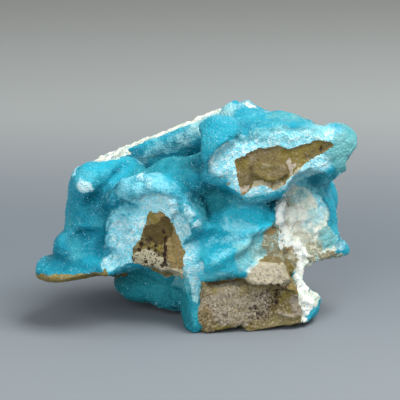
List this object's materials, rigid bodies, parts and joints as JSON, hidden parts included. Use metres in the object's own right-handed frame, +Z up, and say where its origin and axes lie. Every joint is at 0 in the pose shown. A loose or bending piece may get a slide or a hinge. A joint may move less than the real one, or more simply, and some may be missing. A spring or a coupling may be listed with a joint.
{
  "type": "hemimorphite specimen",
  "caption": "Rough mineral specimen: sky-blue botryoidal hemimorphite crust with white banded broken edges on brown porous limonite matrix, standing on a flat-cut rest",
  "frame": {"origin": "middle of the bounding box in plan, on the resting surface", "axes": "+X to the right along the specimen's long side, +Y away from the blue front, +Z up"},
  "size_m": [0.0826, 0.0448, 0.0567],
  "materials": {
    "crust_blue": "sky-blue botryoidal hemimorphite, satin with fine druse sparkle, white and cream where broken",
    "matrix_brown": "olive to orange-brown limonite, matt and porous, smooth in the upper broken window"
  },
  "bodies": {
    "root": {"hemimorphite_crust": "crust_blue", "limonite_matrix": "matrix_brown"}
  },
  "joints": []
}
